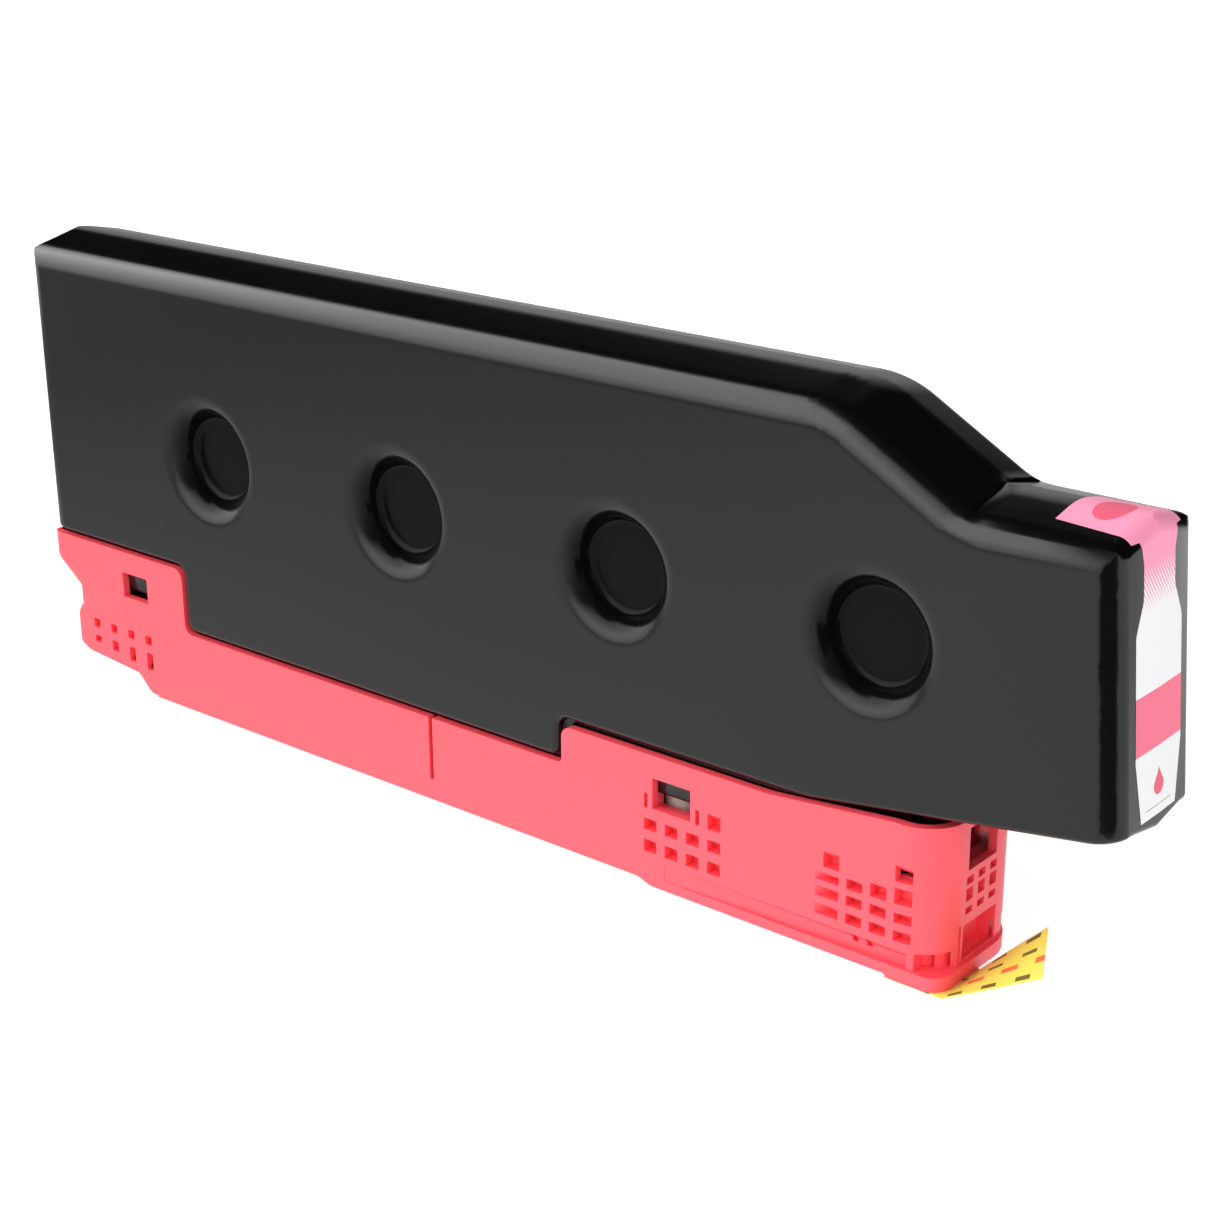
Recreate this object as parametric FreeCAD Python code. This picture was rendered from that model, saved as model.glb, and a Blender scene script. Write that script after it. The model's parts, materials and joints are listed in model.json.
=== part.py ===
import FreeCAD, Part
import math
import os
from FreeCAD import Vector

# Inkjet ink cartridge: a blow-moulded tank in a moulded carrier tray.
# Millimetres. X runs along the cartridge towards the label end, Z is up, and the origin is at
# the bottom centre. Positions called "from the rear" are measured from the tray's rear face.

# Overall sizes
OVERALL_LENGTH = 335.0          # tray's rear face to the tank's front tip
THICKNESS = 35.0                # tank and tray alike
BODY_TOP = 127.9                # ridge of the main body's crowned top, before its rounding
NECK_TOP = 110.2                # ridge of the neck's top, which carries the label
RUNNER_HEIGHT = 1.2             # runners under the tray that the cartridge rests and slides on

# Positions that follow the front, each measured back from the tank's front tip
SHOULDER_START_BACK = 70.5      # where the main body's top begins to fall
SHOULDER_END_BACK = 38.8
OVERHANG_BACK = 73.0            # where the underside begins to rise towards the front
LAST_DIMPLE_BACK = 58.8
SPIGOT_MID_END_BACK = 138.0
SPIGOT_END_BACK = 47.0
NIPPLE_BACK = 114.5
FRONT_STEP_BACK = 143.0         # where the tray's rim steps up again
NOSE_RISE_START_BACK = 83.0
NOSE_RISE_END_BACK = 51.0
NOSE_BACK = 39.0                # flat front of the tray's nose
RAIL_START_BACK = 116.0
RAIL_END_BACK = 46.5
FOOT_BACK = 52.0                # rear edge of the foot under the nose
RUNNER_END_BACK = 67.0
WINDOW_BACK = (115.6, 104.6)    # rear and front edge of the front snap window
LATTICE_A_BACK = 118.0
LATTICE_B_BACK = 68.2
DRAIN_SLOTS_BACK = (60.8, 57.2)
FLEX_SLIT_BACK = 186.0
VENT_BACK = 49.0
TAPE_BACK = 51.8
LABEL_REAR_BACK = 22.6          # rear edge of the label on the neck's top

# Tank
TANK_REAR = 0.4                 # tank's rear face, from the rear
CROWN_SLOPE = 12.5              # degrees that the top falls to each side of its ridge
CROWN_R = 20.0                  # rounding of the ridge
KEEL = 1.6                      # depth of the keel under the front
KEEL_SLOPE = 9.0                # degrees that it rises to each side
FACE_LEAN = 5.1                 # how far the front face leans back over its height
FRONT_TIP_HEIGHT = 46.9         # lower end of the front face
OVERHANG_HEIGHT = 36.4
SHOULDER_R = 28.0               # bend over the shoulder, and bends of the underside and rim
NECK_BEND_R = 15.0              # bend where the shoulder meets the neck
EDGE_R = 7.0                    # long edges and upright corners of the tank
END_EDGE_R = 4.0                # top edges of the tank's two ends
LOWER_EDGE_R = 1.5              # edges round the underside
STEP_R = 3.0                    # corners of the rear step along the tray's rim
STEP_SHARE = 0.29               # corner radius of the front step, as a share of its height
SHUT_GAP = 1.1                  # dark line between the tray's rim and the tank

# Dimples in both sides of the tank
DIMPLE_COUNT = 4
DIMPLE_FIRST = 71.0             # centre of the rearmost, from the rear
DIMPLE_HEIGHT = 76.0
DIMPLE_MOUTH_R = 18.1
DIMPLE_DEPTH = 6.4
DIMPLE_SLOPE = 72.0             # degrees between its wall and the tank's side
DIMPLE_WALL = 0.45              # straight part of its wall
DIMPLE_FILLET = 2.1

# Spigot of the tank, which stands in the tray
SPIGOT_CLEARANCE = 0.4          # to the tray's side walls
SPIGOT_REAR_BOTTOM = 31.2
SPIGOT_MID_BOTTOM = 9.0
SPIGOT_FRONT_DROP = 12.0        # depth of its front part below the tank's underside
SPIGOT_MID_START = 61.0         # from the rear
SPIGOT_CORNER_R = 2.5
SPIGOT_NOSE_R = 7.0             # upright corners of its front end
SPIGOT_ROOT = 6.0               # how far the spigot reaches up into the tank's body
LUG_PROUD = 1.1                 # snap lugs on the spigot's sides
LUG_SLACK = 0.5                 # between a lug and its window, all round

# Outlet spout and air nipple of the tank
SPOUT_R = 3.8
SPOUT_BORE_R = 2.6
SPOUT_LENGTH = 22.0
NIPPLE_R = 3.0
NIPPLE_BORE_R = 1.6
NIPPLE_LENGTH = 6.0
NIPPLE_Y = -6.0

# Tray
WALL = 2.2
TRAY_BOTTOM = 2.6               # underside of the long middle part
FLOOR = 2.0
RIM_REAR = 43.2                 # heights of the stepped rim
RIM_MID = 24.9
RIM_GAP = 1.9                   # between the front rim and the tank's underside
NOSE_RISE = 3.1                 # how much the rim rises over the nose
REAR_STEP = 56.8                # where the rim steps down, from the rear
NOSE_R = 10.0                   # upright corners of the nose
TRAY_REAR_R = 5.0               # upright corners at the rear
BLOCK_REAR = 6.9                # rear face of the lower rear block
BLOCK_BOTTOM_REAR = 9.8         # its underside, which falls towards the front
BLOCK_BOTTOM_FRONT = 7.5
BLOCK_END = 34.5                # where its underside begins to fall steeply
BLOCK_SLOPE_END = 39.5
BLOCK_R = 8.0                   # its lower corner
BLOCK_WALL = 4.7                # side walls of the rear block, behind its blind squares
NOTCH_DEPTH = 10.0              # guide notch across the rear end, from the rear
NOTCH_LOW = 24.0
NOTCH_HIGH = 27.0
NOTCH_SLOPE = 3.1               # height of the slope below the notch
NOTCH_R = 1.5
UPPER_BLOCK = 8.8               # height of the rear face above the notch's upper slope

# Thick walls, which carry the blind lattices
THICK_WALL = 5.2
NOSE_WALL = 6.0                 # front wall of the nose
NOSE_BLOCK = 34.0               # length of the thick walls behind the nose's front
CELL_DEPTH = 3.0

# Base rail along the tray's front half
RAIL_LIP = 2.5                  # height of the rail's outer lip
RAIL_RECESS = 1.8               # greatest depth of the recess over the lip
RAIL_RECESS_HEIGHT = 4.2
RAIL_RISE = 4.0                 # length over which the rail's underside comes down
BASE_RIM = 1.2                  # how far the base's rim stands out before the nose
BASE_NEAR_R = 5.0               # upright corners of the base's rim, near side and far side
BASE_FAR_R = 12.0
FOOT_BOTTOM = 0.3               # underside of the nose's foot

# Runners under the tray
RUNNER_WIDTH = 2.4
RUNNER_Y = 10.5
RUNNER_START = 44.0
RUNNER_ROOT = 0.5               # how far a runner reaches into the tray's floor

# Windows and lattices
REAR_WINDOW = (31.4, 41.8, 29.9, 37.1)
WINDOW_DROP = (13.3, 5.6)       # lower and upper edge of the front window, below the rim
WINDOW_FRAME = 1.4
CELL_PITCH = 6.1
LATTICE_A_CELL = 3.7
LATTICE_A_COLUMNS = 4
LATTICE_A_ROWS = ((9.8, 12.9), (15.4, 18.3))
LATTICE_A_TOP = (20.9, 24.6)
LATTICE_B_CELL = 4.15
LATTICE_B_TOPS = (20.1, 20.7, 21.7, 22.6)
LATTICE_B_FLOORS = (18.2, 18.2, 18.5, 18.8)
LATTICE_B_ROWS = ((9.9, 12.4), (14.3, 16.7))
CORNER_CELL_HEIGHT = 3.6
LOUVRE_REACH = 3.0              # how far the first column's cells run out to the rear
DRAIN_SLOT_WIDTH = 1.5
DRAIN_SLOT_HEIGHT = 2.4
REAR_PANEL_RECESS = 0.7
REAR_PANEL_TOP = 23.0
REAR_PANEL_FRONT = 43.0
REAR_COLUMNS = 4
REAR_COLUMN_START = 17.2
REAR_COLUMN_PITCH = 7.5
REAR_SQUARE = 2.6
REAR_SQUARE_HEIGHT = 18.4
REAR_CELL_DEPTH = 2.3
REAR_SLOT_LOW = (12.6, 11.6, 10.4, 9.6)
REAR_SLOT_TOP = 14.6
GUIDE_RECESS = 1.6              # tapered recess beside the rear notch
GUIDE_LENGTH = 27.0
GUIDE_LOW = 23.0
GUIDE_HIGH = 30.5
FLEX_SLIT_WIDTH = 1.3
FLEX_SLIT_BOTTOM = 8.2
NOSE_WINDOW_WIDTH = 11.6
NOSE_WINDOW_DROP = (12.3, 2.2)  # lower and upper edge of the nose's window, below its rim
NOSE_CELL_WIDTH = 2.8
NOSE_CELL_PITCH = 4.8
NOSE_ROWS = ((22.0, 23.8), (18.0, 21.0), (14.9, 16.5))
NOSE_PORT_WIDTH = 13.6
NOSE_PORT = (4.2, 12.4)
NOSE_PORT_DEPTH = 4.5
NOSE_GROOVE = (4.2, 13.0)
NOSE_GROOVE_WIDTH = 0.8
POCKET = (3.7, 7.9)
POCKET_DEPTH = 1.6
POCKET_RIB = 1.5                # rib between the rail's recess and the pocket
POCKET_TURN = 72.0              # degrees that the pocket runs round the nose's corner

# Ink outlet at the rear, on an axis along X
PORT_HEIGHT = 16.6
PORT_NOSE_R = 4.2
PORT_HOLE_CLEARANCE = 0.15
PORT_BARREL_R = 4.7
PORT_FLANGE_R = 6.0
PORT_FLANGE = 1.6
PORT_SEAT = 0.3                 # between the block's wall and the flange
PORT_INSET = 0.5                # between the block's rear face and the outlet's nose
NEEDLE_R = 1.6                  # bore that the printer's needle enters
MOUTH = 0.9                     # chamfer that leads the needle in
SEAL_POCKET_R = 3.3
COLLAR_LENGTH = 1.6
SEAL_LENGTH = 3.4
CHAMBER_R = 3.3
CHAMBER_LENGTH = 15.0
POPPET_CLEARANCE = 0.08
POPPET_HEAD = 2.0
POPPET_STEM_R = 1.1
POPPET_STEM = 6.0
POPPET_GAP = 0.05
FLOW_R = 0.8                    # flow grooves in the poppet's rim
SPRING_R = 2.3
SPRING_WIRE_R = 0.28
SPRING_TURNS = 6
FILTER_LENGTH = 0.8
INLET_R = 1.5
INLET_LENGTH = 2.0
FIT = 0.1                       # radial clearance between pushed-together mouldings
RING_R = 0.5                    # section of the sealing rings
CRADLE_FROM_PORT = 11.0
RIB = 2.0

# Chip at the rear face of the tray's upper block
CHIP_WIDTH = 12.0
CHIP_HEIGHT = 5.2
CHIP_THICK = 1.0
CHIP_CENTRE = 39.6
CHIP_INSET = 0.1                # board's face below the tray's rear face
CHIP_CLEARANCE = 0.15
PAD_SIZE = 1.2
PAD_HEIGHT = 1.6
PAD_ROWS = (4, 5)
PAD_ROW_SPACING = 2.2
PAD_PITCH = 1.7
PAD_THICK = 0.05
BLOB_SIZE = (4.4, 3.0, 0.8)
STAKE_R = 0.5
STAKE_MARGIN = 1.2              # stake's axis from the board's end

# Air duct, vent and pull tape under the nose
DUCT_SOCKET_R = 5.0
DUCT_SOCKET_LENGTH = 9.2
DUCT_HEIGHT = 12.4
DUCT_R = 2.2
DUCT_BORE_R = 1.3
VENT_R = 1.2
DUCT_FOOT_R = 3.0
GASKET_HEIGHT = 1.2
MEMBRANE_R = 2.8
MEMBRANE_THICK = 0.3
SEAT_WALL = 1.0
TAPE_WIDTH = 16.0
TAPE_THICK = 0.2
TAPE_SIDE_MARGIN = 0.2
TAB_TIP_BACK = 20.9             # middle of the tab's end edge
TAB_TIP_Y = -3.4
TAB_TIP_HEIGHT = 11.0
TAB_EDGE = (-0.42, 0.88, 0.23)  # direction of the tab's end edge
TAB_START = 0.5                 # tab's root, before the base's rim

# Label over the neck
LABEL_THICK = 0.1
LABEL_TOP_WIDTH = 18.0          # at its rear edge
LABEL_CORNER_WIDTH = 20.4       # where it folds over the neck's front
LABEL_WAIST_WIDTH = 13.0
LABEL_BAND_WIDTH = 19.2
LABEL_FOOT_WIDTH = 14.5
LABEL_FOLD_DROP = 3.6           # fold's step in width, below the neck's ridge
LABEL_STEP = 1.2
LABEL_WAIST = (95.0, 102.0)     # heights between which the waist is straight
LABEL_BAND = (62.0, 88.0)
LABEL_FOOT = 48.6
LABEL_BEND_R = 4.0

MARGIN = 1.0                    # how far a cutting tool reaches past what it cuts

REAR = -OVERALL_LENGTH / 2
HALF = THICKNESS / 2
FRONT = OVERALL_LENGTH
ABOVE = BODY_TOP + OVERHANG_HEIGHT
SHOULDER_START = FRONT - SHOULDER_START_BACK
SHOULDER_END = FRONT - SHOULDER_END_BACK
OVERHANG_START = FRONT - OVERHANG_BACK
FACE_TOP_X = FRONT - FACE_LEAN
SPIGOT_MID_END = FRONT - SPIGOT_MID_END_BACK
SPIGOT_END = FRONT - SPIGOT_END_BACK
SPIGOT_FRONT_BOTTOM = OVERHANG_HEIGHT - SPIGOT_FRONT_DROP
SPIGOT_HALF = HALF - WALL - SPIGOT_CLEARANCE
NIPPLE_FROM_REAR = FRONT - NIPPLE_BACK
FRONT_STEP = FRONT - FRONT_STEP_BACK
NOSE_RISE_START = FRONT - NOSE_RISE_START_BACK
NOSE_RISE_END = FRONT - NOSE_RISE_END_BACK
NOSE_FRONT = FRONT - NOSE_BACK
RIM_FRONT = OVERHANG_HEIGHT - RIM_GAP
RIM_NOSE = RIM_FRONT + NOSE_RISE
FRONT_STEP_R = STEP_SHARE * (RIM_FRONT - RIM_MID)
RAIL_START = FRONT - RAIL_START_BACK
RAIL_END = FRONT - RAIL_END_BACK
RAIL_BOTTOM = RUNNER_HEIGHT
LIP_TOP = RAIL_BOTTOM + RAIL_LIP
FLOOR_TOP = TRAY_BOTTOM + FLOOR
FOOT_START = FRONT - FOOT_BACK
WINDOW_X = (FRONT - WINDOW_BACK[0], FRONT - WINDOW_BACK[1])
FRONT_WINDOW = WINDOW_X + (RIM_FRONT - WINDOW_DROP[0], RIM_FRONT - WINDOW_DROP[1])
VENT_FROM_REAR = FRONT - VENT_BACK
LABEL_BACK = FRONT - LABEL_REAR_BACK


def rounded_loop(corners, place):
    """Closed wire through corners (u, v, radius); place turns a plane point into a space point."""
    tangents = []
    count = len(corners)
    for i, (u, v, radius) in enumerate(corners):
        before = corners[i - 1]
        after = corners[(i + 1) % count]
        to_before = Vector(before[0] - u, before[1] - v, 0).normalize()
        to_after = Vector(after[0] - u, after[1] - v, 0).normalize()
        here = Vector(u, v, 0)
        half_angle = to_before.getAngle(to_after) / 2
        if radius <= 0 or half_angle > math.pi / 2 - 1e-4:
            tangents.append((here, here, here))
            continue
        reach = radius / math.tan(half_angle)
        inward = (to_before + to_after).normalize()
        middle = here + inward * (radius / math.sin(half_angle) - radius)
        tangents.append((here + to_before * reach, middle, here + to_after * reach))
    edges = []
    for i, (start, middle, end) in enumerate(tangents):
        if start.distanceToPoint(end) > 1e-6:
            edges.append(Part.Arc(place(start), place(middle), place(end)).toShape())
        following = tangents[(i + 1) % count][0]
        if end.distanceToPoint(following) > 1e-6:
            edges.append(Part.LineSegment(place(end), place(following)).toShape())
    return Part.Wire(edges)


def side_plate(corners, y_low, y_high):
    """Solid whose outline is drawn in side view, positions from the rear against height."""
    loop = rounded_loop(corners, lambda p: Vector(REAR + p.x, y_low, p.y))
    return Part.Face(loop).extrude(Vector(0, y_high - y_low, 0))


def plan_slab(corners, z_low, z_high):
    """Solid whose outline is drawn in plan, positions from the rear against Y."""
    loop = rounded_loop(corners, lambda p: Vector(REAR + p.x, p.y, z_low))
    return Part.Face(loop).extrude(Vector(0, 0, z_high - z_low))


def end_plate(corners, x_low, x_high):
    """Solid whose outline is drawn in end view, Y against height."""
    loop = rounded_loop(corners, lambda p: Vector(REAR + x_low, p.x, p.y))
    return Part.Face(loop).extrude(Vector(x_high - x_low, 0, 0))


def block(x_low, x_high, y_low, y_high, z_low, z_high):
    size = (x_high - x_low, y_high - y_low, z_high - z_low)
    return Part.makeBox(*size, Vector(REAR + x_low, y_low, z_low))


def rod_x(radius, x_low, x_high, y, z):
    return Part.makeCylinder(radius, x_high - x_low, Vector(REAR + x_low, y, z), Vector(1, 0, 0))


def rod_z(radius, z_low, z_high, x, y):
    return Part.makeCylinder(radius, z_high - z_low, Vector(REAR + x, y, z_low))


def tube_x(outer_r, inner_r, x_low, x_high):
    """Tube on the ink outlet's axis."""
    hole = rod_x(inner_r, x_low - MARGIN, x_high + MARGIN, 0, PORT_HEIGHT)
    return rod_x(outer_r, x_low, x_high, 0, PORT_HEIGHT).cut(hole)


def tube_z(outer_r, inner_r, z_low, z_high, x):
    """Upright tube in line with the air nipple."""
    hole = rod_z(inner_r, z_low - MARGIN, z_high + MARGIN, x, NIPPLE_Y)
    return rod_z(outer_r, z_low, z_high, x, NIPPLE_Y).cut(hole)


def both_sides(shape):
    """The shape and its mirror image across the middle plane."""
    return [shape, shape.mirror(Vector(0, 0, 0), Vector(0, 1, 0))]


def edges_of(shape, test):
    return [edge for edge in shape.Edges if test(edge)]


def on_side(edge):
    """True for an edge that lies in one of the two side planes."""
    box = edge.BoundBox
    return box.YLength < 1e-6 and abs(abs(box.YMin) - HALF) < 1e-6


def write(name, shape):
    shape.exportStep(os.path.join("parts", name + ".step"))


def underside(x):
    """Height of the tank's rising underside over the tray's nose."""
    rise = (FRONT_TIP_HEIGHT - OVERHANG_HEIGHT) / (FRONT - OVERHANG_START)
    return OVERHANG_HEIGHT + max(0.0, x - OVERHANG_START) * rise


def face_x(z):
    """Position of the leaning front face at height z."""
    return FRONT - FACE_LEAN * (z - FRONT_TIP_HEIGHT) / (NECK_TOP - FRONT_TIP_HEIGHT)


# Tank


def crowned(outline, slope=-CROWN_SLOPE):
    """Solid within a side outline that falls or rises, by its slope, to both sides of the middle plane."""
    loop = rounded_loop(outline, lambda p: Vector(REAR + p.x, 0, p.y))
    fall = -HALF * math.tan(math.radians(slope))
    half = Part.Face(loop).extrude(Vector(0, -HALF, -fall))
    near, far = both_sides(half)
    return near.fuse(far).removeSplitter()


def long_body():
    """The tank's long form, open-ended, with its rounded ridge and long upper edges."""
    past_front = FRONT + EDGE_R
    upper = crowned([
        (-EDGE_R, 0, 0),
        (-EDGE_R, BODY_TOP, 0),
        (SHOULDER_START, BODY_TOP, SHOULDER_R),
        (SHOULDER_END, NECK_TOP, NECK_BEND_R),
        (past_front, NECK_TOP, 0),
        (past_front, 0, 0),
    ])
    lowest = NECK_TOP - HALF / 2
    upper_edges = edges_of(upper, lambda e: e.BoundBox.ZMin > lowest and e.BoundBox.XLength > 1e-6)
    ridge = [edge for edge in upper_edges if abs(edge.BoundBox.YMin) + abs(edge.BoundBox.YMax) < 1e-6]
    upper = upper.makeFillet(CROWN_R, ridge)
    sides = edges_of(upper, lambda e: on_side(e) and e.BoundBox.ZMin > lowest and e.BoundBox.XLength > 1e-6)
    upper = upper.makeFillet(EDGE_R, sides)
    lower = side_plate([
        (-EDGE_R, RIM_REAR + SHUT_GAP, 0),
        (-EDGE_R, ABOVE, 0),
        (past_front, ABOVE, 0),
        (past_front, underside(past_front), 0),
        (OVERHANG_START, OVERHANG_HEIGHT, SHOULDER_R),
        (FRONT_STEP - SHUT_GAP, OVERHANG_HEIGHT, FRONT_STEP_R),
        (FRONT_STEP - SHUT_GAP, RIM_MID + SHUT_GAP, FRONT_STEP_R),
        (REAR_STEP + SHUT_GAP, RIM_MID + SHUT_GAP, STEP_R),
        (REAR_STEP + SHUT_GAP, RIM_REAR + SHUT_GAP, STEP_R),
    ], -HALF, HALF)
    keel = crowned([
        (OVERHANG_START, ABOVE, 0),
        (past_front, ABOVE, 0),
        (past_front, underside(past_front) - KEEL, 0),
        (OVERHANG_START, OVERHANG_HEIGHT - KEEL, 0),
    ], KEEL_SLOPE)
    return upper.common(lower.fuse(keel))


def rear_form():
    """Upright form that rounds the tank's rear end."""
    end = SHOULDER_END
    plan = [(TANK_REAR, -HALF, EDGE_R), (end, -HALF, 0), (end, HALF, 0), (TANK_REAR, HALF, EDGE_R)]
    top = crowned([(TANK_REAR, 0, 0), (TANK_REAR, BODY_TOP, END_EDGE_R), (end, BODY_TOP, 0), (end, 0, 0)])
    return plan_slab(plan, 0, ABOVE).common(top)


def front_form():
    """Leaning form that rounds the neck's front end."""
    start = SHOULDER_START
    foot_x = face_x(0)
    plan = [(start, -HALF, 0), (foot_x, -HALF, EDGE_R), (foot_x, HALF, EDGE_R), (start, HALF, 0)]
    loop = rounded_loop(plan, lambda p: Vector(REAR + p.x, p.y, 0))
    leaning = Part.Face(loop).extrude(Vector(FACE_TOP_X - foot_x, 0, NECK_TOP))
    behind = start - HALF
    outline = [(behind, 0, 0), (behind, NECK_TOP, 0), (FACE_TOP_X, NECK_TOP, END_EDGE_R), (foot_x, 0, 0)]
    top = crowned(outline)
    return leaning.common(top)


def tank_body():
    body = long_body().common(rear_form().fuse(front_form())).removeSplitter()
    rim_level = FRONT_TIP_HEIGHT + MARGIN
    front_zone = REAR + FRONT - EDGE_R - MARGIN
    rear_zone = REAR + TANK_REAR + EDGE_R + MARGIN

    def is_lower(edge):
        box = edge.BoundBox
        at_end = box.ZMax < rim_level and (box.XMin > front_zone or box.XMax < rear_zone)
        return at_end or (on_side(edge) and box.Center.z < rim_level)

    return body.makeFillet(LOWER_EDGE_R, edges_of(body, is_lower))


def dimple():
    """Tool for one dimple in the near side, with a wide lip, a steep wall and a flat floor."""
    slope = math.radians(DIMPLE_SLOPE)
    share = 1 - math.cos(slope)
    lip_r = (DIMPLE_DEPTH - DIMPLE_WALL * math.sin(slope)) / share - DIMPLE_FILLET

    def at(radius, depth):
        return Vector(radius, -HALF + depth, 0)

    def lip(angle):
        return at(DIMPLE_MOUTH_R - lip_r * math.sin(angle), lip_r * (1 - math.cos(angle)))

    wall_end_r = DIMPLE_MOUTH_R - lip_r * math.sin(slope) - DIMPLE_WALL * math.cos(slope)
    floor_r = wall_end_r - DIMPLE_FILLET * math.sin(slope)

    def floor_bend(angle):
        depth = DIMPLE_DEPTH - DIMPLE_FILLET * (1 - math.cos(angle))
        return at(floor_r + DIMPLE_FILLET * math.sin(angle), depth)

    points = [at(floor_r, DIMPLE_DEPTH), at(0, DIMPLE_DEPTH), at(0, -MARGIN), at(DIMPLE_MOUTH_R, -MARGIN)]
    points.append(lip(0))
    edges = [Part.LineSegment(a, b).toShape() for a, b in zip(points, points[1:])]
    edges.append(Part.Arc(lip(0), lip(slope / 2), lip(slope)).toShape())
    edges.append(Part.LineSegment(lip(slope), floor_bend(slope)).toShape())
    edges.append(Part.Arc(floor_bend(slope), floor_bend(slope / 2), floor_bend(0)).toShape())
    profile = Part.Face(Part.Wire(Part.__sortEdges__(edges)))
    return profile.revolve(Vector(0, 0, 0), Vector(0, 1, 0), 360)


def spigot():
    """Lower part of the tank, narrower by the tray's walls, that stands in the tray."""
    top = RIM_REAR + SHUT_GAP + SPIGOT_ROOT
    rear = WALL + SPIGOT_CLEARANCE
    slope_end = NOTCH_DEPTH + WALL + SPIGOT_CLEARANCE
    outline = [
        (rear, top, 0),
        (rear, SPIGOT_REAR_BOTTOM + slope_end - rear, 0),
        (slope_end, SPIGOT_REAR_BOTTOM, 0),
        (SPIGOT_MID_START, SPIGOT_REAR_BOTTOM, 0),
        (SPIGOT_MID_START, SPIGOT_MID_BOTTOM, SPIGOT_CORNER_R),
        (SPIGOT_MID_END, SPIGOT_MID_BOTTOM, SPIGOT_CORNER_R),
        (SPIGOT_MID_END, SPIGOT_FRONT_BOTTOM, 0),
        (SPIGOT_END, SPIGOT_FRONT_BOTTOM, SPIGOT_CORNER_R),
        (SPIGOT_END, underside(SPIGOT_END) + LOWER_EDGE_R, 0),
        (OVERHANG_START, OVERHANG_HEIGHT + SPIGOT_ROOT, 0),
        (FRONT_STEP, OVERHANG_HEIGHT + SPIGOT_ROOT, 0),
        (FRONT_STEP, top, 0),
    ]
    plan = [
        (0, -SPIGOT_HALF, 0),
        (SPIGOT_END, -SPIGOT_HALF, SPIGOT_NOSE_R),
        (SPIGOT_END, SPIGOT_HALF, SPIGOT_NOSE_R),
        (0, SPIGOT_HALF, 0),
    ]
    return side_plate(outline, -SPIGOT_HALF, SPIGOT_HALF).common(plan_slab(plan, 0, ABOVE))


def snap_lugs():
    """Wedges on the spigot's sides that snap into the tray's two windows on each side."""
    lugs = []
    for window, spigot_low in ((REAR_WINDOW, SPIGOT_REAR_BOTTOM), (FRONT_WINDOW, SPIGOT_FRONT_BOTTOM)):
        x_low, x_high, z_low, z_high = window
        low = max(z_low, spigot_low) + LUG_SLACK
        high = z_high - LUG_SLACK
        section = [
            (SPIGOT_HALF - LUG_PROUD, low, 0),
            (SPIGOT_HALF, low, 0),
            (SPIGOT_HALF + LUG_PROUD, high - LUG_SLACK, 0),
            (SPIGOT_HALF + LUG_PROUD, high, 0),
            (SPIGOT_HALF - LUG_PROUD, high, 0),
        ]
        lugs += both_sides(end_plate(section, x_low + LUG_SLACK, x_high - LUG_SLACK))
    return lugs


def ink_tank():
    body = tank_body()
    tool = dimple()
    pitch = (FRONT - LAST_DIMPLE_BACK - DIMPLE_FIRST) / (DIMPLE_COUNT - 1)
    for i in range(DIMPLE_COUNT):
        near = tool.translated(Vector(REAR + DIMPLE_FIRST + i * pitch, 0, DIMPLE_HEIGHT))
        for side in both_sides(near):
            body = body.cut(side)
    spout_end = SPIGOT_MID_START - SPOUT_LENGTH
    spout = rod_x(SPOUT_R, spout_end, SPIGOT_MID_START + MARGIN, 0, PORT_HEIGHT)
    nipple_low = SPIGOT_FRONT_BOTTOM - NIPPLE_LENGTH
    nipple = rod_z(NIPPLE_R, nipple_low, SPIGOT_FRONT_BOTTOM + MARGIN, NIPPLE_FROM_REAR, NIPPLE_Y)
    tank = body.fuse([spigot(), spout, nipple] + snap_lugs())
    bore = rod_x(SPOUT_BORE_R, spout_end - MARGIN, SPIGOT_MID_START, 0, PORT_HEIGHT)
    air_bore = rod_z(NIPPLE_BORE_R, nipple_low - MARGIN, SPIGOT_FRONT_BOTTOM, NIPPLE_FROM_REAR, NIPPLE_Y)
    width = 2 * (RING_R + FIT / 2)
    groove_x = spout_ring_x() - width / 2
    groove = tube_x(SPOUT_R + MARGIN, SPOUT_R - RING_R, groove_x, groove_x + width)
    groove_z = duct_ring_height() - width / 2
    air_groove = tube_z(NIPPLE_R + MARGIN, NIPPLE_R - RING_R, groove_z, groove_z + width, NIPPLE_FROM_REAR)
    return tank.cut([bore, air_bore, groove, air_groove]).removeSplitter()


# Tray


def tray_outline():
    """The tray in side view, with its stepped rim, its rear notch and its raised rear underside."""
    return [
        (0, RIM_REAR, NOTCH_R),
        (REAR_STEP, RIM_REAR, STEP_R),
        (REAR_STEP, RIM_MID, STEP_R),
        (FRONT_STEP, RIM_MID, FRONT_STEP_R / 2),
        (FRONT_STEP, RIM_FRONT, FRONT_STEP_R),
        (NOSE_RISE_START, RIM_FRONT, SHOULDER_R),
        (NOSE_RISE_END, RIM_NOSE, SHOULDER_R),
        (NOSE_FRONT + BASE_RIM, RIM_NOSE, 0),
        (NOSE_FRONT + BASE_RIM, FOOT_BOTTOM, 0),
        (FOOT_START + RAIL_BOTTOM, FOOT_BOTTOM, 0),
        (FOOT_START, RAIL_BOTTOM, 0),
        (RAIL_START, RAIL_BOTTOM, STEP_R),
        (RAIL_START - RAIL_RISE, TRAY_BOTTOM, STEP_R),
        (BLOCK_SLOPE_END, TRAY_BOTTOM, STEP_R),
        (BLOCK_END, BLOCK_BOTTOM_FRONT, FLOOR),
        (BLOCK_REAR, BLOCK_BOTTOM_REAR, BLOCK_R),
    ] + rear_end()


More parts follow.
